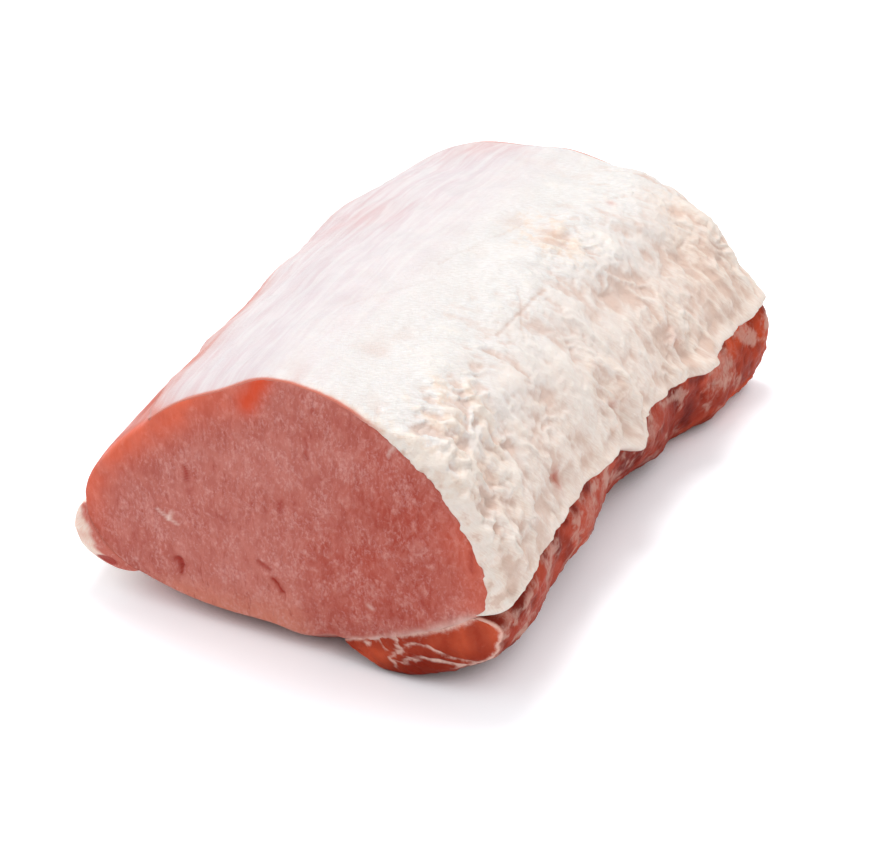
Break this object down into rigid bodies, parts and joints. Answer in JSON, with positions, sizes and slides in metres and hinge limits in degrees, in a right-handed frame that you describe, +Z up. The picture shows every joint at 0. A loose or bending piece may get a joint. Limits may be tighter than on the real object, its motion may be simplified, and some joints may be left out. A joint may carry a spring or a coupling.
{
  "type": "boneless pork loin",
  "caption": "Raw boneless pork loin roast, cut square at the ends: an oval eye muscle, a flat strap along one flank, and a torn white fat cap that thins to silverskin.",
  "frame": {"origin": "on the surface that the loin lies on, under the middle of its bounding box", "axes": "+Z up through the fat cap, +Y along the loin from the cut face that the picture shows to the far cut end, +X towards the side strap"},
  "size_m": [0.1514, 0.2212, 0.09],
  "materials": {
    "loin_meat": null,
    "strap_meat": null,
    "fat_cap": null,
    "edge_fat": null
  },
  "bodies": {
    "root": {"loin_eye": "loin_meat", "side_strap": "strap_meat", "fat_cap": "fat_cap", "edge_fat": "edge_fat"}
  },
  "joints": []
}
